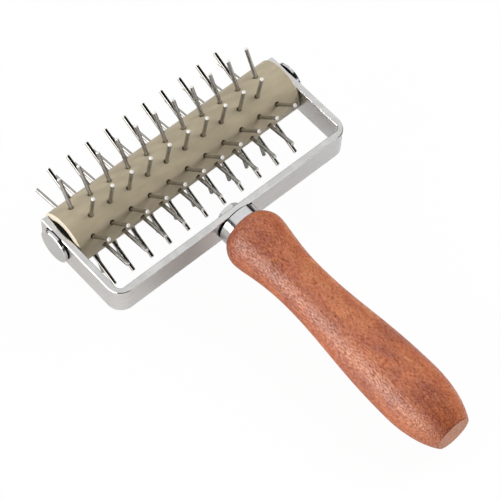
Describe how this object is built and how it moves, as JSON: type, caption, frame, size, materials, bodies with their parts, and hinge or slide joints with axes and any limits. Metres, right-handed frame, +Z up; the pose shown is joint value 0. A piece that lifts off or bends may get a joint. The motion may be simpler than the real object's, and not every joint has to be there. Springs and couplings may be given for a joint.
{
  "type": "dough docker",
  "caption": "Hand dough docker: pin-studded plastic roller spinning in a U-shaped metal yoke on a turned wooden handle, for pricking rolled dough.",
  "frame": {"origin": "middle of the footprint on the table that the tool lies on", "axes": "+X along the roller's axle, +Y from the handle's butt to the roller, +Z up from the table"},
  "size_m": [0.13, 0.1938, 0.0524],
  "materials": {
    "yoke_steel": "satin",
    "axle_chrome": "polished",
    "washer_nylon": "matte",
    "bolt_steel": "plated",
    "ferrule_chrome": "polished",
    "handle_wood": "stained, open grain, light varnish",
    "insert_brass": "turned",
    "roller_plastic": "smooth matte",
    "pin_steel": "bright"
  },
  "bodies": {
    "frame": {"yoke": "yoke_steel", "axle_post": "axle_chrome", "axle_cap_screw": "axle_chrome", "left_head_washer": "washer_nylon", "right_head_washer": "washer_nylon", "left_thrust_washer": "washer_nylon", "right_thrust_washer": "washer_nylon", "handle_bolt": "bolt_steel", "ferrule_washer": "washer_nylon", "ferrule": "ferrule_chrome", "handle": "handle_wood", "handle_insert": "insert_brass"},
    "roller": {"roller_barrel": "roller_plastic", "pin_row_01": "pin_steel", "pin_row_02": "pin_steel", "pin_row_03": "pin_steel", "pin_row_04": "pin_steel", "pin_row_05": "pin_steel", "pin_row_06": "pin_steel", "pin_row_07": "pin_steel", "pin_row_08": "pin_steel", "pin_row_09": "pin_steel", "pin_row_10": "pin_steel"}
  },
  "joints": [
    {"name": "roller_spin", "type": "hinge", "parent": "frame", "child": "roller", "pos_m": [0, 0.06948, 0.02622], "axis": [1, 0, 0], "continuous": true}
  ]
}
